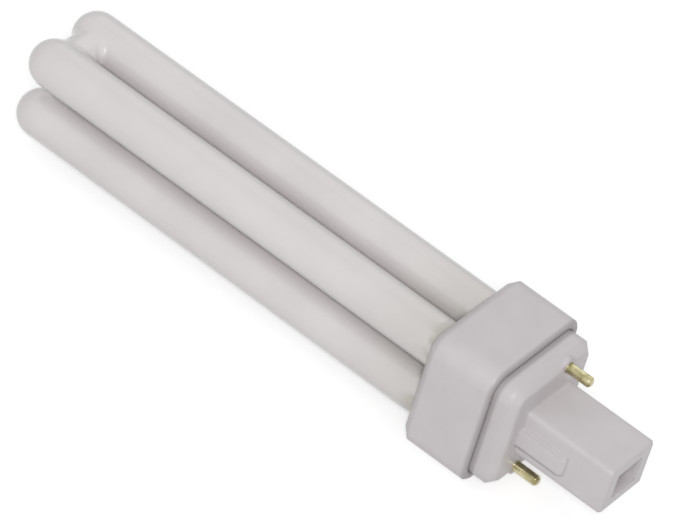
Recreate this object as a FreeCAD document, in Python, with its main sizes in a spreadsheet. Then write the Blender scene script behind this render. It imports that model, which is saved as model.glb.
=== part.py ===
import FreeCAD, Part
import math
import os
import Sketcher
from FreeCAD import Placement, Rotation, Vector

# Plug-in compact fluorescent lamp: four parallel glass legs in a square, joined in pairs
# near their domed tips, in a white moulded collar over a two-pin cap with a hollow post.
# X runs along the lamp, from the glass tips (-X) to the end of the post (+X).
# The origin is the centre of the cap's seat face. Z is up as the lamp lies on its collar.

SIZES = [
    ("tube_diameter", 10.6, "outer diameter of a glass leg"),
    ("tube_pitch", 13.7, "centre to centre of neighbouring legs"),
    ("glass_reach", 130.6, "seat face to the domed tips"),
    ("glass_root", 12.6, "seat face to the closed lower ends"),
    ("tip_bridge_diameter", 8.4, "bridge between the tips of a pair"),
    ("tip_bridge_drop", 6.65, "tip to the centre line of a tip bridge"),
    ("root_bridge_diameter", 6.4, "bridge that joins the two pairs"),
    ("root_bridge_rise", 7.5, "collar face to the centre line of that bridge"),
    ("bridge_blend", 0.9, "blown flare where a tip bridge meets a leg"),
    ("collar_margin", 2.85, "collar outside the square of the legs"),
    ("collar_height", 16.1, "length of the collar along the lamp"),
    ("collar_corner", 4.4, "corner radius of the collar"),
    ("collar_shoulder", 1.6, "bevel round the collar's glass end"),
    ("collar_roof", 1.8, "thickness of the collar's pierced end"),
    ("mouth_edge", 0.5, "bevel of the collar's mouth edge"),
    ("tube_clearance", 0.15, "gap round a leg in the collar's roof"),
    ("cap_step", 1.7, "how far the cap lies inside the collar's sides"),
    ("cap_corner", 3.6, "corner radius of the cap flange"),
    ("cap_edge", 1.8, "bevel of the cap's seat edge"),
    ("cap_height", 5.0, "visible height of the cap flange"),
    ("cap_plug", 4.6, "depth of the cap inside the collar"),
    ("cap_wall", 1.5, "side wall of the cap"),
    ("cap_floor", 1.9, "floor of the cap that holds the pins"),
    ("seam_gap", 0.5, "open seam between collar and flange step"),
    ("plug_clearance", 0.1, "gap between the cap and the collar"),
    ("stop_ledge", 0.6, "ledge in the collar that the cap stops on"),
    ("post_width", 14.4, "post across, along Y"),
    ("post_depth", 11.8, "post across, along Z"),
    ("post_length", 21.5, "seat face to the end of the post"),
    ("post_corner", 0.8, "corner radius of the post"),
    ("post_bevel", 0.5, "lead-in bevel round the post's end"),
    ("post_wall", 1.5, "side wall of the post"),
    ("recess_depth", 5.0, "depth of the recess in the post's end"),
    ("recess_side", 3.3, "post's narrow side to the side of that recess"),
    ("recess_rim", 2.8, "post's wide side to the side of that recess"),
    ("web_thickness", 1.4, "web between recess and chamber"),
    ("key_length", 11.5, "length of a keying rib on the post"),
    ("key_width", 4.6, "width of a keying rib along Z"),
    ("key_height", 1.2, "how far a keying rib stands out"),
    ("key_offset", 0.35, "keying rib centre off the post's centre"),
    ("pin_diameter", 2.35, "contact pin"),
    ("pin_length", 5.8, "seat face to the end of a pin"),
    ("pin_bevel", 0.45, "bevel at the end of a pin"),
    ("pin_spread_side", 8.9, "pin to pin along Y"),
    ("pin_inset", 2.15, "pin's centre to the cap's side, along Z"),
    ("pin_shank", 2.5, "pin's thicker shank in the cap's floor"),
    ("pin_boss", 4.0, "round boss that a pin stands on"),
    ("pin_head_diameter", 2.9, "riveted head inside the cap"),
    ("pin_head_relief", 0.1, "gap round a head in the cap's wall"),
    ("pin_head_thickness", 0.7, "thickness of that head"),
    ("starter_diameter", 7.0, "glow starter bottle"),
    ("starter_length", 14.5, "length of the bottle"),
    ("starter_neck", 1.6, "taper at the bottle's closed end"),
    ("starter_gap", 0.3, "bottle and capacitor to the chamber's walls"),
    ("capacitor_thickness", 3.2, "capacitor beside the bottle"),
    ("capacitor_height", 7.2, "capacitor along Z"),
    ("capacitor_length", 9.0, "capacitor along X"),
    ("capacitor_bevel", 0.7, "bevelled edges of the capacitor"),
    ("lead_diameter", 0.7, "insulated lead wire"),
    ("lead_spread", 2.6, "between the two leads of one cathode"),
    ("lead_straight", 2.4, "straight end of a lead"),
    ("cement_depth", 4.5, "depth of the cement round the legs"),
]

# Sides that follow from the square of the legs, as formulas in the sheet's names.
COLLAR_SIDE = "({tube_pitch} + {tube_diameter} + 2 * {collar_margin})"
CAP_SIDE = f"({COLLAR_SIDE} - 2 * {{cap_step}})"
CHAMBER_SIDE = f"({CAP_SIDE} - 2 * {{stop_ledge}})"
CHAMBER_CORNER = "({cap_corner} - {stop_ledge})"
PIN_HIGH = f"({CAP_SIDE} / 2 - {{pin_inset}})"
MOUTH = "(-{cap_height} - {seam_gap})"
ROOF = f"({MOUTH} - {{collar_height}})"
POST_FLOOR = "({post_length} - {recess_depth} - {web_thickness})"

MITRED = 1  # pipe shells: sharp corners between straight runs
MOST_FLARE = 0.4  # a flare's largest share of the gap between two legs
RIB_END = 0.7  # the bevel at a keying rib's end, as a share of the rib's height
LEAD_SEAT = 0.2  # how far off its axis the starter's leads reach it, as a share of its diameter
START = 10  # the first size of a drawn shape, before its cells drive it
SAME = 0.01  # two places closer than this are one place

doc = FreeCAD.newDocument("lamp")
sheet = doc.addObject("Spreadsheet::Sheet", "Sizes")
for row, (alias, value, note) in enumerate(SIZES, start=1):
    sheet.set(f"A{row}", note)
    sheet.set(f"B{row}", str(value))
    sheet.setAlias(f"B{row}", alias)
doc.recompute()


def size(alias):
    """The present value of one cell, for the few shapes that are made in code."""
    return float(getattr(sheet, alias))


NAMES = {alias: "Sizes." + alias for alias, _, _ in SIZES}


def bind(thing, prop, formula):
    """Bind a property to a formula in the sheet's aliases, written as {alias}."""
    thing.setExpression(prop, formula.format(**NAMES))


def value_of(formula):
    """The number that a formula gives now, to start a sketch near its solved form."""
    return float(sheet.evalExpression(formula.format(**NAMES)))


def new_body(name):
    """An empty body; its name is the node's name."""
    body = doc.addObject("PartDesign::Body", name)
    body.Label = name
    return body


def plane_of(body, role):
    return next(item for item in body.Origin.OriginFeatures if item.Role == role)


def new_sketch(body, name, role="YZ_Plane", along="0 mm"):
    """A sketch on a plane of the body's origin, moved along the plane's normal."""
    sketch = body.newObject("Sketcher::SketchObject", name)
    sketch.AttachmentSupport = [(plane_of(body, role), "")]
    sketch.MapMode = "FlatFace"
    bind(sketch, "AttachmentOffset.Base.z", along)
    return sketch


def bind_last(sketch, formula):
    bind(sketch, f"Constraints[{sketch.ConstraintCount - 1}]", formula)


def add_rectangle(sketch, wide, high, across="0 mm", up="0 mm"):
    """A rectangle of the given size, its centre at (across, up)."""
    first = sketch.GeometryCount
    half = START / 2
    corners = [Vector(-half, -half, 0), Vector(half, -half, 0), Vector(half, half, 0), Vector(-half, half, 0)]
    for index in range(4):
        sketch.addGeometry(Part.LineSegment(corners[index], corners[(index + 1) % 4]), False)
    for index in range(4):
        sketch.addConstraint(Sketcher.Constraint(
            "Coincident", first + index, 2, first + (index + 1) % 4, 1))
    for index, kind in enumerate(("Horizontal", "Vertical", "Horizontal", "Vertical")):
        sketch.addConstraint(Sketcher.Constraint(kind, first + index))
    sketch.addConstraint(Sketcher.Constraint("DistanceX", first, 1, first, 2, START))
    bind_last(sketch, wide)
    sketch.addConstraint(Sketcher.Constraint("DistanceY", first + 1, 1, first + 1, 2, START))
    bind_last(sketch, high)
    sketch.addGeometry(Part.Point(Vector(0.1, 0.1, 0)), True)
    centre = first + 4
    sketch.addConstraint(Sketcher.Constraint("Symmetric", first, 1, first + 2, 1, centre, 1))
    place_point(sketch, centre, 1, across, up)


def add_rounded_rectangle(sketch, wide, high, radius):
    """A rectangle with round corners, its centre at the sketch's origin."""
    across, up, bend = value_of(wide) / 2, value_of(high) / 2, value_of(radius)
    side, rise = across - bend, up - bend
    runs = [((-side, -up), (side, -up)), ((across, -rise), (across, rise)),
            ((side, up), (-side, up)), ((-across, rise), (-across, -rise))]
    for start, end in runs:
        sketch.addGeometry(Part.LineSegment(Vector(*start, 0), Vector(*end, 0)), False)
    centres = [(side, -rise), (side, rise), (-side, rise), (-side, -rise)]
    for index, centre in enumerate(centres):
        circle = Part.Circle(Vector(*centre, 0), Vector(0, 0, 1), bend)
        begin = (index - 1) * math.pi / 2
        sketch.addGeometry(Part.ArcOfCircle(circle, begin, begin + math.pi / 2), False)
    for index in range(4):
        sketch.addConstraint(Sketcher.Constraint("Tangent", index, 2, 4 + index, 1))
        sketch.addConstraint(Sketcher.Constraint("Tangent", 4 + index, 2, (index + 1) % 4, 1))
    for index, kind in enumerate(("Horizontal", "Vertical", "Horizontal", "Vertical")):
        sketch.addConstraint(Sketcher.Constraint(kind, index))
    for index in (5, 6, 7):
        sketch.addConstraint(Sketcher.Constraint("Equal", 4, index))
    sketch.addConstraint(Sketcher.Constraint("Symmetric", 0, 1, 2, 1, -1, 1))
    sketch.addConstraint(Sketcher.Constraint("Radius", 4, bend))
    bind_last(sketch, radius)
    sketch.addConstraint(Sketcher.Constraint("DistanceX", 3, 1, 1, 1, 2 * across))
    bind_last(sketch, wide)
    sketch.addConstraint(Sketcher.Constraint("DistanceY", 0, 1, 2, 2, 2 * up))
    bind_last(sketch, high)


def place_point(sketch, element, point, across, up):
    """Hold a point of the sketch at signed distances from the sketch's origin."""
    for kind, formula in (("DistanceX", across), ("DistanceY", up)):
        if formula == "0 mm":
            on_axis = -2 if kind == "DistanceX" else -1
            sketch.addConstraint(Sketcher.Constraint("PointOnObject", element, point, on_axis))
        else:
            sketch.addConstraint(Sketcher.Constraint(kind, -1, 1, element, point, 1.0))
            bind_last(sketch, formula)


def add_circle(sketch, radius, across="0 mm", up="0 mm"):
    """A circle whose centre lies at (across, up)."""
    first = sketch.GeometryCount
    sketch.addGeometry(Part.Circle(Vector(1, 1, 0), Vector(0, 0, 1), START), False)
    sketch.addConstraint(Sketcher.Constraint("Radius", first, START))
    bind_last(sketch, radius)
    place_point(sketch, first, 3, across, up)


def add_step(body, kind, name, sketch, length, towards_tips=False):
    """Pad or Pocket a sketch along X; a step that changes no volume is an error."""
    doc.recompute()
    before = body.Shape.Volume if body.Tip and not body.Shape.isNull() else 0.0
    step = body.newObject("PartDesign::" + kind, name)
    step.Profile = sketch
    step.Type = "Length"
    bind(step, "Length", length)
    step.Reversed = towards_tips if kind == "Pad" else not towards_tips
    body.Tip = step
    doc.recompute()
    change = body.Shape.Volume - before
    if (change <= 0) if kind == "Pad" else (change >= 0):
        raise RuntimeError(f"{name} changed the volume the wrong way: {change:.3f}")
    return step


def bevel_edges(body, name, amount, wanted):
    """Bevel the edges of the body's tip that the test picks out."""
    doc.recompute()
    base = body.Tip
    picked = [f"Edge{index}" for index, edge in enumerate(base.Shape.Edges, start=1) if wanted(edge)]
    bevel = body.newObject("PartDesign::Chamfer", name)
    bevel.Base = (base, picked)
    bind(bevel, "Size", amount)
    body.Tip = bevel
    doc.recompute()


def bevel_at(body, name, amount, along):
    """Bevel every edge that lies flat in the plane at that distance along X."""
    x = value_of(along)
    bevel_edges(body, name, amount, lambda edge: lies_at_x(edge, x))


def lies_at_x(edge, x):
    """An edge that lies flat in the plane at x."""
    box = edge.BoundBox
    return abs(box.XMin - x) < SAME and abs(box.XMax - x) < SAME


LEGS = [("near", -1, 1), ("right", 1, 1), ("left", -1, -1), ("far", 1, -1)]


def glass_leg(name, side, height):
    """One leg as a revolved outline: domed tip, straight wall, flat sealed root."""
    sketch = doc.addObject("Sketcher::SketchObject", "outline_" + name)
    sketch.Placement = Placement(Vector(), Rotation(Vector(1, 0, 0), 90 * height))
    radius = size("tube_diameter") / 2
    tip, root = -size("glass_reach"), -size("glass_root")
    dome = Part.Circle(Vector(tip + radius, 0, 0), Vector(0, 0, 1), radius)
    outline = [(tip + radius, radius), (root, radius), (root, 0), (tip, 0)]
    sketch.addGeometry(Part.ArcOfCircle(dome, math.pi / 2, math.pi), False)
    for start, end in zip(outline, outline[1:]):
        sketch.addGeometry(Part.LineSegment(Vector(*start, 0), Vector(*end, 0)), False)
    for constraint in (
            ("Tangent", 0, 1, 1, 1), ("Coincident", 1, 2, 2, 1), ("Coincident", 2, 2, 3, 1),
            ("Coincident", 3, 2, 0, 2), ("Horizontal", 1), ("Vertical", 2),
            ("PointOnObject", 3, 1, -1), ("PointOnObject", 3, 2, -1), ("PointOnObject", 0, 3, -1)):
        sketch.addConstraint(Sketcher.Constraint(*constraint))
    sketch.addConstraint(Sketcher.Constraint("Radius", 0, radius))
    bind_last(sketch, "{tube_diameter} / 2")
    sketch.addConstraint(Sketcher.Constraint("DistanceX", 3, 2, -1, 1, -tip))
    bind_last(sketch, "{glass_reach}")
    sketch.addConstraint(Sketcher.Constraint("DistanceX", 3, 1, -1, 1, -root))
    bind_last(sketch, "{glass_root}")
    bind(sketch, "Placement.Base.y", f"{side} * {{tube_pitch}} / 2")
    bind(sketch, "Placement.Base.z", f"{height} * {{tube_pitch}} / 2")
    leg = doc.addObject("Part::Revolution", "leg_" + name)
    leg.Source = sketch
    leg.Axis = Vector(1, 0, 0)
    leg.Angle = 360
    leg.Solid = True
    bind(leg, "Base.y", f"{side} * {{tube_pitch}} / 2")
    bind(leg, "Base.z", f"{height} * {{tube_pitch}} / 2")
    return leg


def glass_bridge(name, diameter, along, side, height, axis):
    """A short blown cross tube between the centre lines of two neighbouring legs."""
    bridge = doc.addObject("Part::Cylinder", "bridge_" + name)
    bind(bridge, "Radius", diameter + " / 2")
    bind(bridge, "Height", "{tube_pitch}")
    bind(bridge, "Placement.Base.x", along)
    bind(bridge, "Placement.Base.y", f"{side} * {{tube_pitch}} / 2")
    bind(bridge, "Placement.Base.z", f"{height} * {{tube_pitch}} / 2")
    turn = Rotation(Vector(1, 0, 0), -90 if axis == "y" else 0)
    bridge.Placement = Placement(bridge.Placement.Base, turn)
    return bridge


def make_discharge_tube():
    """The sealed, coated glass: two U pairs and the bridge that joins them low down."""
    legs = [glass_leg(*leg) for leg in LEGS]
    tip_line = "-{glass_reach} + {tip_bridge_drop}"
    root_line = ROOF + " - {root_bridge_rise}"
    bridges = [
        glass_bridge("tips_high", "{tip_bridge_diameter}", tip_line, -1, 1, "y"),
        glass_bridge("tips_low", "{tip_bridge_diameter}", tip_line, -1, -1, "y"),
        glass_bridge("root", "{root_bridge_diameter}", root_line, 1, -1, "z"),
    ]
    fused = doc.addObject("Part::MultiFuse", "glass_sharp")
    fused.Shapes = legs + bridges
    fused.Refine = True
    doc.recompute()
    blend = doc.addObject("Part::Chamfer", "discharge_tube")
    blend.Base = fused
    gap = size("tube_pitch") - size("tube_diameter")
    flare = min(size("bridge_blend"), MOST_FLARE * gap)
    blend.Edges = [(index, flare, flare) for index in bridge_seams(fused.Shape)]
    blend.Label = "discharge_tube"
    doc.recompute()
    return blend


def bridge_seams(shape):
    """Indices of the closed curves where a tip bridge meets a leg."""
    plain = ("Part::GeomLine", "Part::GeomCircle")
    found = []
    for index, edge in enumerate(shape.Edges, start=1):
        at_tips = edge.BoundBox.Center.x < -size("glass_reach") / 2
        if at_tips and not edge.Degenerated and edge.Curve.TypeId not in plain:
            found.append(index)
    return found


def make_collar_shell():
    """The square collar: pierced roof for the legs, stepped chamber for the cap."""
    body = new_body("collar_shell")
    outline = new_sketch(body, "collar_outline", along=MOUTH)
    add_rounded_rectangle(outline, COLLAR_SIDE, COLLAR_SIDE, "{collar_corner}")
    add_step(body, "Pad", "collar_block", outline, "{collar_height}", towards_tips=True)
    bevel_at(body, "collar_shoulder_bevel", "{collar_shoulder}", ROOF)
    bevel_at(body, "collar_mouth_bevel", "{mouth_edge}", MOUTH)
    chamber = new_sketch(body, "chamber_outline", along=MOUTH)
    add_rounded_rectangle(chamber, CHAMBER_SIDE, CHAMBER_SIDE, CHAMBER_CORNER)
    add_step(body, "Pocket", "chamber", chamber, "{collar_height} - {collar_roof}", towards_tips=True)
    seat = new_sketch(body, "plug_outline", along=MOUTH)
    seat_side = CAP_SIDE + " + 2 * {plug_clearance}"
    add_rounded_rectangle(seat, seat_side, seat_side, "{cap_corner} + {plug_clearance}")
    add_step(body, "Pocket", "plug_seat", seat, "{cap_plug} - {seam_gap}", towards_tips=True)
    holes = new_sketch(body, "leg_holes", along=ROOF)
    for _, across, up in LEGS:
        add_circle(holes, "{tube_diameter} / 2 + {tube_clearance}",
                   f"{across} * {{tube_pitch}} / 2", f"{up} * {{tube_pitch}} / 2")
    add_step(body, "Pocket", "leg_openings", holes, "{collar_roof} * 2")
    return body


def make_cap_base():
    """The moulded cap: flange, plug, hollow post with an end recess and keying ribs."""
    body = new_body("cap_base")
    flange = new_sketch(body, "flange_outline")
    add_rounded_rectangle(flange, CAP_SIDE, CAP_SIDE, "{cap_corner}")
    add_step(body, "Pad", "flange", flange, "{cap_height} + {cap_plug}", towards_tips=True)
    bevel_at(body, "seat_edge", "{cap_edge}", "0 mm")
    bosses = new_sketch(body, "pin_boss_outline")
    add_at_pins(bosses, "{pin_boss} / 2")
    add_step(body, "Pad", "pin_bosses", bosses, "{cap_floor}", towards_tips=True)
    chamber = new_sketch(body, "cap_chamber", along="-{cap_height} - {cap_plug}")
    chamber_side = CAP_SIDE + " - 2 * {cap_wall}"
    add_rounded_rectangle(chamber, chamber_side, chamber_side, "{cap_corner} - {cap_wall} / 2")
    add_step(body, "Pocket", "cap_hollow", chamber, "{cap_height} + {cap_plug} - {cap_floor}")
    reliefs = new_sketch(body, "head_relief_outline", along="-{cap_floor}")
    add_at_pins(reliefs, "{pin_head_diameter} / 2 + {pin_head_relief}")
    add_step(body, "Pocket", "head_reliefs", reliefs, "{cap_height} + {cap_plug} - {cap_floor}",
             towards_tips=True)
    post = new_sketch(body, "post_outline", along="-{cap_floor}")
    add_rounded_rectangle(post, "{post_width}", "{post_depth}", "{post_corner}")
    add_step(body, "Pad", "post", post, "{post_length} + {cap_floor}")
    bevel_at(body, "post_lead_in", "{post_bevel}", "{post_length}")
    for name, way in (("front", -1), ("back", 1)):
        key = new_sketch(body, "key_outline_" + name)
        add_rectangle(key, "{key_height} + {post_wall} / 2", "{key_width}",
                      f"{way} * ({{post_width}} / 2 + {{key_height}} / 2 - {{post_wall}} / 4)",
                      f"{way} * {{key_offset}}")
        add_step(body, "Pad", "key_" + name, key, "{key_length}")
    bevel_edges(body, "key_ends", f"{{key_height}} * {RIB_END}", is_key_end)
    hollow = new_sketch(body, "post_chamber", along="-{cap_floor}")
    add_rectangle(hollow, "{post_width} - 2 * {post_wall}", "{post_depth} - 2 * {post_wall}")
    add_step(body, "Pocket", "post_hollow", hollow, "{cap_floor} + " + POST_FLOOR)
    recess = new_sketch(body, "recess_outline", along="{post_length}")
    add_rectangle(recess, "{post_width} - 2 * {recess_side}", "{post_depth} - 2 * {recess_rim}")
    add_step(body, "Pocket", "end_recess", recess, "{recess_depth}", towards_tips=True)
    holes = new_sketch(body, "pin_holes")
    add_at_pins(holes, "{pin_shank} / 2")
    add_step(body, "Pocket", "pin_bores", holes, "{cap_floor} * 2", towards_tips=True)
    return body


def add_at_pins(sketch, radius):
    """A circle of that radius round each of the two pins."""
    for way in (1, -1):
        add_circle(sketch, radius, f"{way} * {{pin_spread_side}} / 2", f"{way} * {PIN_HIGH}")


def is_key_end(edge):
    """The outer edge at the far end of a keying rib."""
    outer = size("post_width") / 2 + size("key_height")
    return lies_at_x(edge, size("key_length")) and abs(abs(edge.BoundBox.Center.y) - outer) < SAME


def make_contact_pin(name, way):
    """A turned brass pin: bevelled end, thicker shank in the floor, riveted head."""
    body = new_body(name)
    rod = new_sketch(body, name + "_rod")
    add_circle(rod, "{pin_diameter} / 2")
    add_step(body, "Pad", name + "_pin", rod, "{pin_length}")
    bevel_at(body, name + "_tip", "{pin_bevel}", "{pin_length}")
    shank = new_sketch(body, name + "_shank")
    add_circle(shank, "{pin_shank} / 2")
    add_step(body, "Pad", name + "_neck", shank, "{cap_floor}", towards_tips=True)
    head = new_sketch(body, name + "_head", along="-{cap_floor}")
    add_circle(head, "{pin_head_diameter} / 2")
    add_step(body, "Pad", name + "_rivet", head, "{pin_head_thickness}", towards_tips=True)
    bind(body, "Placement.Base.y", f"{way} * {{pin_spread_side}} / 2")
    bind(body, "Placement.Base.z", f"{way} * {PIN_HIGH}")
    return body


def make_starter_bottle():
    """The glow starter: a small glass bottle in the post, drawn in at its closed end."""
    body = new_body("glow_starter_bottle")
    base = new_sketch(body, "bottle_outline", along=POST_FLOOR + " - {starter_gap}")
    add_circle(base, "{starter_diameter} / 2")
    add_step(body, "Pad", "bottle", base, "{starter_length}", towards_tips=True)
    bevel_at(body, "bottle_neck", "{starter_neck}", POST_FLOOR + " - {starter_gap}")
    bind(body, "Placement.Base.y",
         "-({post_width} / 2 - {post_wall} - {starter_gap} - {starter_diameter} / 2)")
    return body


def make_capacitor():
    """The suppression capacitor: a flat dipped block beside the bottle."""
    body = new_body("suppression_capacitor")
    face = new_sketch(body, "capacitor_outline", along=POST_FLOOR + " - {starter_gap}")
    add_rectangle(face, "{capacitor_thickness}", "{capacitor_height}")
    add_step(body, "Pad", "capacitor_block", face, "{capacitor_length}", towards_tips=True)
    bevel_edges(body, "capacitor_edges", "{capacitor_bevel}", lambda edge: True)
    bind(body, "Placement.Base.y",
         "{post_width} / 2 - {post_wall} - {starter_gap} - {capacitor_thickness} / 2")
    return body


def make_cement():
    """The cement that fills the collar's upper chamber round the four legs."""
    body = new_body("tube_cement")
    roof = ROOF + " + {collar_roof}"
    face = new_sketch(body, "cement_outline", along=roof)
    add_rounded_rectangle(face, CHAMBER_SIDE, CHAMBER_SIDE, CHAMBER_CORNER)
    add_step(body, "Pad", "cement", face, "{cement_depth}")
    legs = new_sketch(body, "cement_legs", along=roof)
    for _, across, up in LEGS:
        add_circle(legs, "{tube_diameter} / 2",
                   f"{across} * {{tube_pitch}} / 2", f"{up} * {{tube_pitch}} / 2")
    add_step(body, "Pocket", "leg_moulds", legs, "{cement_depth}")
    return body


def make_lead(name, start, end):
    """One lead, square to the glass where it leaves it and square to what it feeds."""
    run = Vector(size("lead_straight"), 0, 0)
    path = Part.makePolygon([start, start + run, end - run, end])
    ring = Part.Wire(Part.makeCircle(size("lead_diameter") / 2, start, Vector(1, 0, 0)))
    lead = doc.addObject("Part::Feature", name)
    lead.Shape = path.makePipeShell([ring], True, False, MITRED)
    lead.Label = name
    return lead


def make_leads():
    """Each cathode has two leads: one to its contact pin and one to the starter."""
    offset = size("tube_pitch") / 2
    spread = size("lead_spread") / 2
    root = -size("glass_root")
    head = -size("cap_floor") - size("pin_head_thickness")
    pin_side, pin_high = size("pin_spread_side") / 2, value_of(PIN_HIGH)
    bottle_y = -(size("post_width") / 2 - size("post_wall") - size("starter_gap")
                 - size("starter_diameter") / 2)
    bottle_x = value_of(POST_FLOOR) - size("starter_gap") - size("starter_length")
    leads = []
    for label, way in (("upper", 1), ("lower", -1)):
        to_pin = Vector(root, -offset + spread, way * offset)
        pin = Vector(head, way * pin_side, way * pin_high)
        to_starter = Vector(root, -offset - spread, way * offset)
        bottle = Vector(bottle_x, bottle_y, way * size("starter_diameter") * LEAD_SEAT)
        leads.append(make_lead(f"pin_lead_{label}", to_pin, pin))
        leads.append(make_lead(f"starter_lead_{label}", to_starter, bottle))
    return leads


PARTS = [
    make_discharge_tube(),
    make_collar_shell(),
    make_cap_base(),
    make_contact_pin("contact_pin_upper", 1),
    make_contact_pin("contact_pin_lower", -1),
    make_starter_bottle(),
    make_capacitor(),
    make_cement(),
] + make_leads()

doc.recompute()
for item in doc.Objects:
    if "Invalid" in item.State or "Error" in item.State:
        raise RuntimeError(f"{item.Name} failed to build: {item.State}")
for item in PARTS:
    if item.Shape.isNull() or not item.Shape.isValid():
        raise RuntimeError(f"{item.Label} has no valid shape")

os.makedirs("parts", exist_ok=True)
for item in PARTS:
    item.Shape.exportStep(f"parts/{item.Label}.step")
    box = item.Shape.BoundBox
    print(f"{item.Label}: {item.Shape.Volume:.1f} mm3, solids {len(item.Shape.Solids)},"
          f" x {box.XMin:.2f}..{box.XMax:.2f}, y {box.YMin:.2f}..{box.YMax:.2f},"
          f" z {box.ZMin:.2f}..{box.ZMax:.2f}")
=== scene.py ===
import math

import bpy
from mathutils import Matrix, Vector


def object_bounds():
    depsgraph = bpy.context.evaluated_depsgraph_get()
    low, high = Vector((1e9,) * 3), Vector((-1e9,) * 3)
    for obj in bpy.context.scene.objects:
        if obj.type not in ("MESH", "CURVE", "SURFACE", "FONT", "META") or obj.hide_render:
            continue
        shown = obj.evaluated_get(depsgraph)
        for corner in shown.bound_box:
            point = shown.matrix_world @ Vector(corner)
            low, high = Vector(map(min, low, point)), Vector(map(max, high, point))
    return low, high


MM = 0.001
BEVEL_RAYS = 8
GLASS_IOR = 1.5

# Places along the lamp. The seat face is at X = 0 and the glass runs towards -X.
THINNING_FROM_MM = -48.0  # where the powder starts to thin towards the roots
ROOTS_MM = -21.6  # where the legs leave the collar
SMOKE_REACH_MM = 5.0  # how far along the glass the marks at the roots reach
SEAM_MM = -5.25  # the middle of the gap between the collar and the cap
SEAM_SHADE_FULL_MM = 0.3  # how far from there the painted seam shade is at its darkest
SEAM_SHADE_REACH_MM = 1.3  # and how far from there it ends

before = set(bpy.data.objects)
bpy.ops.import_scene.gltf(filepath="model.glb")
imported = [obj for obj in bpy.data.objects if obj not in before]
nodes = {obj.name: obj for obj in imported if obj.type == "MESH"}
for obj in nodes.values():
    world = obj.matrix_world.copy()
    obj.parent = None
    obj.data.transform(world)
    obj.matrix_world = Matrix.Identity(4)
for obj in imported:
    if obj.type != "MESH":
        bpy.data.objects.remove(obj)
scene = bpy.context.scene
cad_low, cad_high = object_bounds()


# Colour and shader helpers

def colour(code):
    """An sRGB hex colour as the linear RGBA that a shader socket takes."""
    parts = [int(code[i:i + 2], 16) / 255 for i in (1, 3, 5)]
    return [p / 12.92 if p <= 0.04045 else ((p + 0.055) / 1.055) ** 2.4 for p in parts] + [1.0]


def scale_for(size_mm):
    """The scale at which a pattern's features are about that many millimetres across."""
    return 1 / (size_mm * MM)


def add_node(tree, kind, inputs=(), links=(), stops=(), **settings):
    """A shader node with its settings, its socket values and its incoming links. A colour
    ramp also gets its two stops, each a position and a hex colour."""
    node = tree.nodes.new(kind)
    for name, value in settings.items():
        setattr(node, name, value)
    for socket, value in dict(inputs).items():
        node.inputs[socket].default_value = value
    for socket, source in dict(links).items():
        tree.links.new(source, node.inputs[socket])
    if stops:
        for stop, (position, code) in zip(node.color_ramp.elements, stops):
            stop.position = position
            stop.color = colour(code)
    return node


def new_material(name):
    """An empty node material and its tree."""
    material = bpy.data.materials.new(name)
    material.use_nodes = True
    tree = material.node_tree
    tree.nodes.clear()
    return material, tree


def relief(tree, height, depth_mm, edge_mm):
    """Surface relief over normals that run softly round the edges, as moulded or blown."""
    soft = add_node(tree, "ShaderNodeBevel", samples=BEVEL_RAYS, inputs={"Radius": edge_mm * MM})
    raised = add_node(
        tree, "ShaderNodeBump", links={"Height": height, "Normal": soft.outputs["Normal"]},
        inputs={"Strength": 1.0, "Distance": depth_mm * MM})
    return raised.outputs["Normal"]


def looked_at(tree):
    """1 for rays that show a surface itself: straight, mirrored or through glass."""
    rays = add_node(tree, "ShaderNodeLightPath").outputs
    mirrored = add_node(
        tree, "ShaderNodeMath", operation="MAXIMUM",
        links={0: rays["Is Glossy Ray"], 1: rays["Is Transmission Ray"]})
    seen = add_node(
        tree, "ShaderNodeMath", operation="MAXIMUM",
        links={0: rays["Is Camera Ray"], 1: mirrored.outputs[0]})
    return seen.outputs[0]


# Finishes

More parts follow.
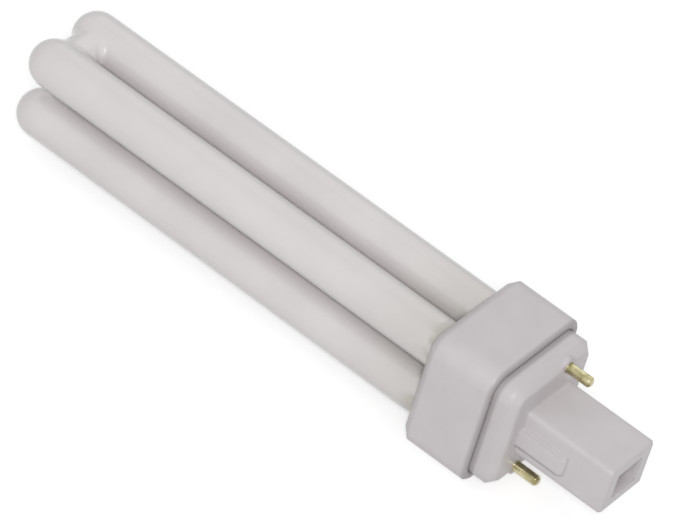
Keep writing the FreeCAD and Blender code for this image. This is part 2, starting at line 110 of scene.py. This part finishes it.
def coated_lamp_glass():
    """Drawn glass tube, dip coated inside with white powder: a matt white under a smooth, glossy
    wall. The powder runs thinner towards the roots, with a few soft marks, grey brown as cathode
    smoke leaves them, just outside the collar. At a grazing view a glossy grey layer is mixed in,
    which paints shade as a thin, darker rim along the outline."""
    material, tree = new_material("lamp_glass_coated_inside")
    place = add_node(tree, "ShaderNodeTexCoord").outputs["Object"]
    streaks = add_node(
        tree, "ShaderNodeTexNoise", links={"Vector": place}, inputs={"Scale": scale_for(14.0)})
    full = add_node(
        tree, "ShaderNodeValToRGB", links={"Fac": streaks.outputs["Fac"]},
        stops=[(0.35, "#D9D4D4"), (0.65, "#DDD9D8")])
    thin = add_node(
        tree, "ShaderNodeValToRGB", links={"Fac": streaks.outputs["Fac"]},
        stops=[(0.35, "#C6C2BE"), (0.65, "#CECAC6")])
    along = add_node(tree, "ShaderNodeSeparateXYZ", links={"Vector": place}).outputs["X"]
    thinning = add_node(
        tree, "ShaderNodeMapRange", links={"Value": along}, interpolation_type="SMOOTHSTEP",
        inputs={"From Min": THINNING_FROM_MM * MM, "From Max": ROOTS_MM * MM, "To Max": 0.7})
    coat = add_node(
        tree, "ShaderNodeMix", data_type="RGBA",
        links={"Factor": thinning.outputs["Result"], "A": full.outputs["Color"],
               "B": thin.outputs["Color"]})
    near_roots = add_node(
        tree, "ShaderNodeMapRange", links={"Value": along}, interpolation_type="SMOOTHSTEP",
        inputs={"From Min": (ROOTS_MM - SMOKE_REACH_MM) * MM, "From Max": ROOTS_MM * MM,
                "To Max": 0.8})
    patches = add_node(
        tree, "ShaderNodeTexNoise", links={"Vector": place}, inputs={"Scale": scale_for(5.0)})
    marks = add_node(
        tree, "ShaderNodeMapRange", links={"Value": patches.outputs["Fac"]},
        inputs={"From Min": 0.48, "From Max": 0.62})
    smoked = add_node(
        tree, "ShaderNodeMath", operation="MULTIPLY",
        links={0: near_roots.outputs["Result"], 1: marks.outputs["Result"]})
    powder = add_node(
        tree, "ShaderNodeMix", data_type="RGBA",
        links={"Factor": smoked.outputs[0], "A": coat.outputs["Result"]},
        inputs={"B": colour("#ABA89C")})
    ripple = add_node(
        tree, "ShaderNodeTexNoise", links={"Vector": place}, inputs={"Scale": scale_for(9.0)})
    drawn = relief(tree, ripple.outputs["Fac"], depth_mm=0.02, edge_mm=1.0)
    coated = add_node(
        tree, "ShaderNodeBsdfPrincipled",
        links={"Base Color": powder.outputs["Result"], "Normal": drawn},
        inputs={"Roughness": 0.28, "IOR": GLASS_IOR, "Coat Weight": 1.0, "Coat Roughness": 0.05,
                "Coat IOR": GLASS_IOR})
    # Painted shade: this glossy grey, mixed in towards the outline, darkens the rim of every leg
    # and dome.
    grey_rim_shade = add_node(
        tree, "ShaderNodeBsdfPrincipled",
        inputs={"Base Color": colour("#9FA09D"), "Roughness": 0.12, "IOR": GLASS_IOR})
    edge_on = add_node(tree, "ShaderNodeLayerWeight", inputs={"Blend": 0.5})
    rim_shade_amount = add_node(
        tree, "ShaderNodeMapRange", links={"Value": edge_on.outputs["Facing"]},
        inputs={"From Min": 0.4, "From Max": 0.95, "To Max": 0.4})
    glass = add_node(
        tree, "ShaderNodeMixShader",
        links={0: rim_shade_amount.outputs["Result"], 1: coated.outputs["BSDF"], 2: grey_rim_shade.outputs["BSDF"]})
    add_node(tree, "ShaderNodeOutputMaterial", links={"Surface": glass.outputs["Shader"]})
    return material


def moulded_white_plastic():
    """Injection moulded PBT: off-white with a satin skin, faint flow marks and a fine
    spark-eroded texture. A darker band of painted shade lies either side of the seam between the
    collar and the cap, so that the seam looks like a wider groove."""
    material, tree = new_material("moulded_white_pbt")
    place = add_node(tree, "ShaderNodeTexCoord").outputs["Object"]
    flow = add_node(
        tree, "ShaderNodeTexNoise", links={"Vector": place},
        inputs={"Scale": scale_for(7.0), "Detail": 3.0})
    skin = add_node(
        tree, "ShaderNodeValToRGB", links={"Fac": flow.outputs["Fac"]},
        stops=[(0.3, "#CBC5C7"), (0.7, "#D0CBCC")])
    along = add_node(tree, "ShaderNodeSeparateXYZ", links={"Vector": place}).outputs["X"]
    past_seam = add_node(
        tree, "ShaderNodeMath", operation="SUBTRACT", links={0: along}, inputs={1: SEAM_MM * MM})
    off_seam = add_node(
        tree, "ShaderNodeMath", operation="ABSOLUTE", links={0: past_seam.outputs[0]})
    # Painted shade: the plastic darkens towards #8B8585 in a band either side of the seam,
    # darkest near its middle.
    seam_shade = add_node(
        tree, "ShaderNodeMapRange", links={"Value": off_seam.outputs[0]},
        interpolation_type="SMOOTHSTEP",
        inputs={"From Min": SEAM_SHADE_FULL_MM * MM, "From Max": SEAM_SHADE_REACH_MM * MM, "To Min": 0.55,
                "To Max": 0.0})
    tone = add_node(
        tree, "ShaderNodeMix", data_type="RGBA",
        links={"Factor": seam_shade.outputs["Result"], "A": skin.outputs["Color"]},
        inputs={"B": colour("#8B8585")})
    # The real texture has a grain of about 0.1 mm. It is drawn coarser, so that it shows.
    grain = add_node(
        tree, "ShaderNodeTexNoise", links={"Vector": place},
        inputs={"Scale": scale_for(0.25), "Detail": 4.0})
    eroded = relief(tree, grain.outputs["Fac"], depth_mm=0.015, edge_mm=1.3)
    plastic = add_node(
        tree, "ShaderNodeBsdfPrincipled",
        links={"Base Color": tone.outputs["Result"], "Normal": eroded},
        inputs={"Roughness": 0.42, "IOR": 1.55})
    add_node(tree, "ShaderNodeOutputMaterial", links={"Surface": plastic.outputs["BSDF"]})
    return material


def turned_brass():
    """Turned and drawn brass, a little dulled: a pale yellow metal with rings across the pin."""
    material, tree = new_material("turned_brass")
    place = add_node(tree, "ShaderNodeTexCoord").outputs["Object"]
    # A wave repeats at 0.31 of its size, here at 0.7 mm. Real turning marks lie about 0.1 mm
    # apart. They are drawn coarser, so that they show.
    rings = add_node(
        tree, "ShaderNodeTexWave", links={"Vector": place}, bands_direction="X",
        inputs={"Scale": scale_for(2.2), "Distortion": 0.6, "Detail": 2.0})
    turned = relief(tree, rings.outputs["Fac"], depth_mm=0.01, edge_mm=0.2)
    tarnish = add_node(
        tree, "ShaderNodeTexNoise", links={"Vector": place},
        inputs={"Scale": scale_for(1.6), "Detail": 3.0})
    tone = add_node(
        tree, "ShaderNodeValToRGB", links={"Fac": tarnish.outputs["Fac"]},
        stops=[(0.3, "#978E66"), (0.7, "#D2CBA4")])
    brass = add_node(
        tree, "ShaderNodeBsdfPrincipled",
        links={"Base Color": tone.outputs["Color"], "Normal": turned},
        inputs={"Metallic": 1.0, "Roughness": 0.28})
    add_node(tree, "ShaderNodeOutputMaterial", links={"Surface": brass.outputs["BSDF"]})
    return material


def clear_bottle_glass():
    """Small blown bottle of clear glass, bright and slightly wavy."""
    material, tree = new_material("clear_bottle_glass")
    place = add_node(tree, "ShaderNodeTexCoord").outputs["Object"]
    waves = add_node(
        tree, "ShaderNodeTexNoise", links={"Vector": place}, inputs={"Scale": scale_for(3.0)})
    blown = relief(tree, waves.outputs["Fac"], depth_mm=0.01, edge_mm=0.6)
    bottle = add_node(
        tree, "ShaderNodeBsdfPrincipled", links={"Normal": blown},
        inputs={"Base Color": colour("#EEF2F1"), "Roughness": 0.05, "IOR": GLASS_IOR,
                "Transmission Weight": 0.9})
    add_node(tree, "ShaderNodeOutputMaterial", links={"Surface": bottle.outputs["BSDF"]})
    return material


def inner_finish(name, low, high, grain_mm, roughness, depth_mm):
    """A hidden inner piece: two close tones and a fine surface."""
    material, tree = new_material(name)
    place = add_node(tree, "ShaderNodeTexCoord").outputs["Object"]
    spread = add_node(
        tree, "ShaderNodeTexNoise", links={"Vector": place},
        inputs={"Scale": scale_for(grain_mm), "Detail": 3.0})
    tone = add_node(
        tree, "ShaderNodeValToRGB", links={"Fac": spread.outputs["Fac"]},
        stops=[(0.3, low), (0.7, high)])
    surface = relief(tree, spread.outputs["Fac"], depth_mm=depth_mm, edge_mm=0.3)
    inner = add_node(
        tree, "ShaderNodeBsdfPrincipled",
        links={"Base Color": tone.outputs["Color"], "Normal": surface},
        inputs={"Roughness": roughness})
    add_node(tree, "ShaderNodeOutputMaterial", links={"Surface": inner.outputs["BSDF"]})
    return material


def dress(names, material):
    """Give each named CAD node the finish."""
    for name in names:
        mesh = nodes[name].data
        mesh.materials.clear()
        mesh.materials.append(material)


dress(["discharge_tube"], coated_lamp_glass())
dress(["collar_shell", "cap_base"], moulded_white_plastic())
dress(["contact_pin_upper", "contact_pin_lower"], turned_brass())
dress(["glow_starter_bottle"], clear_bottle_glass())
# Dipped epoxy resin is a brown with a soft gloss, set cement is chalky, and the extruded
# insulation of the leads is a satin off-white.
dress(["suppression_capacitor"], inner_finish(
    "dipped_resin", "#8A4A22", "#A65E30", grain_mm=0.8, roughness=0.35, depth_mm=0.05))
dress(["tube_cement"], inner_finish(
    "set_cement", "#CFC8B6", "#E0DBCC", grain_mm=1.2, roughness=0.9, depth_mm=0.12))
dress([name for name in nodes if "lead" in name], inner_finish(
    "lead_insulation", "#D8D6CE", "#E6E4DD", grain_mm=2.0, roughness=0.5, depth_mm=0.01))


# Studio

CAMERA_PLACE_MM = (349.67, -795.89, 806.58)
CAMERA_AIM_MM = (-53.66, 1.02, 1.01)
CAMERA_ROLL_DEG = 17.13
CAMERA_LENS_MM = 316.3
SENSOR_MM = 36.0
CLIP_NEAR_MM = 50
CLIP_FAR_MM = 50000
FLOOR_REACH_MM = 6000
FLOOR_GLOW = 0.5  # added where the floor is looked at, so that it shows near white
SKY_SEEN = 1.0  # white where the sky is looked at
SKY_LIGHT = 0.46  # what it sheds on the lamp


def pointed(place_mm, aim_mm):
    """The pose of a camera or light at the place that looks at the aim."""
    place = Vector(place_mm) * MM
    aim = Vector(aim_mm) * MM
    turn = (aim - place).to_track_quat("-Z", "Y").to_matrix().to_4x4()
    return Matrix.Translation(place) @ turn


def make_camera():
    """The photograph's view: from above and in front, a little from the plug end, rolled
    until the plug points down to the right."""
    data = bpy.data.cameras.new("camera")
    data.lens = CAMERA_LENS_MM
    data.sensor_width = SENSOR_MM
    data.clip_start = CLIP_NEAR_MM * MM
    data.clip_end = CLIP_FAR_MM * MM
    camera = bpy.data.objects.new("camera", data)
    scene.collection.objects.link(camera)
    roll = Matrix.Rotation(math.radians(CAMERA_ROLL_DEG), 4, "Z")
    camera.matrix_world = pointed(CAMERA_PLACE_MM, CAMERA_AIM_MM) @ roll
    scene.camera = camera


def area_light(name, place_mm, aim_mm, size_mm, watts):
    """A soft round lamp that points at the aim."""
    data = bpy.data.lights.new(name, "AREA")
    data.shape = "DISK"
    data.size = size_mm * MM
    data.energy = watts
    light = bpy.data.objects.new(name, data)
    scene.collection.objects.link(light)
    light.matrix_world = pointed(place_mm, aim_mm)


def make_floor():
    """A plain pale floor that keeps the lamp's soft shadow."""
    low = cad_low.z
    reach = FLOOR_REACH_MM * MM
    mesh = bpy.data.meshes.new("floor")
    mesh.from_pydata([(-reach, -reach, low), (reach, -reach, low), (reach, reach, low),
                      (-reach, reach, low)], [], [(0, 1, 2, 3)])
    floor = bpy.data.objects.new("floor", mesh)
    scene.collection.objects.link(floor)
    material, tree = new_material("pale_floor")
    matt = add_node(tree, "ShaderNodeBsdfDiffuse", inputs={"Color": colour("#DADADA")})
    glow = add_node(
        tree, "ShaderNodeEmission", inputs={"Color": colour("#FFFFFF"), "Strength": FLOOR_GLOW})
    lit = add_node(
        tree, "ShaderNodeAddShader", links={0: matt.outputs["BSDF"], 1: glow.outputs["Emission"]})
    shown = add_node(
        tree, "ShaderNodeMixShader",
        links={0: looked_at(tree), 1: matt.outputs["BSDF"], 2: lit.outputs["Shader"]})
    add_node(tree, "ShaderNodeOutputMaterial", links={"Surface": shown.outputs["Shader"]})
    mesh.materials.append(material)


def make_world():
    """Even white light from all round, behind a white background."""
    world = bpy.data.worlds.new("studio")
    world.use_nodes = True
    tree = world.node_tree
    tree.nodes.clear()
    strength = add_node(
        tree, "ShaderNodeMapRange", links={"Value": looked_at(tree)},
        inputs={"To Min": SKY_LIGHT, "To Max": SKY_SEEN})
    sky = add_node(
        tree, "ShaderNodeBackground", links={"Strength": strength.outputs["Result"]},
        inputs={"Color": colour("#FFFFFF")})
    add_node(tree, "ShaderNodeOutputWorld", links={"Surface": sky.outputs["Background"]})
    scene.world = world


make_camera()
make_floor()
make_world()
area_light("back_soft", place_mm=(-200, 900, 1000), aim_mm=(-50, 0, 0), size_mm=1400, watts=1.6)
area_light("front_soft", place_mm=(491, -1060, 1100), aim_mm=(-54, 1, 1), size_mm=350, watts=12.3)
scene.view_settings.view_transform = "Standard"
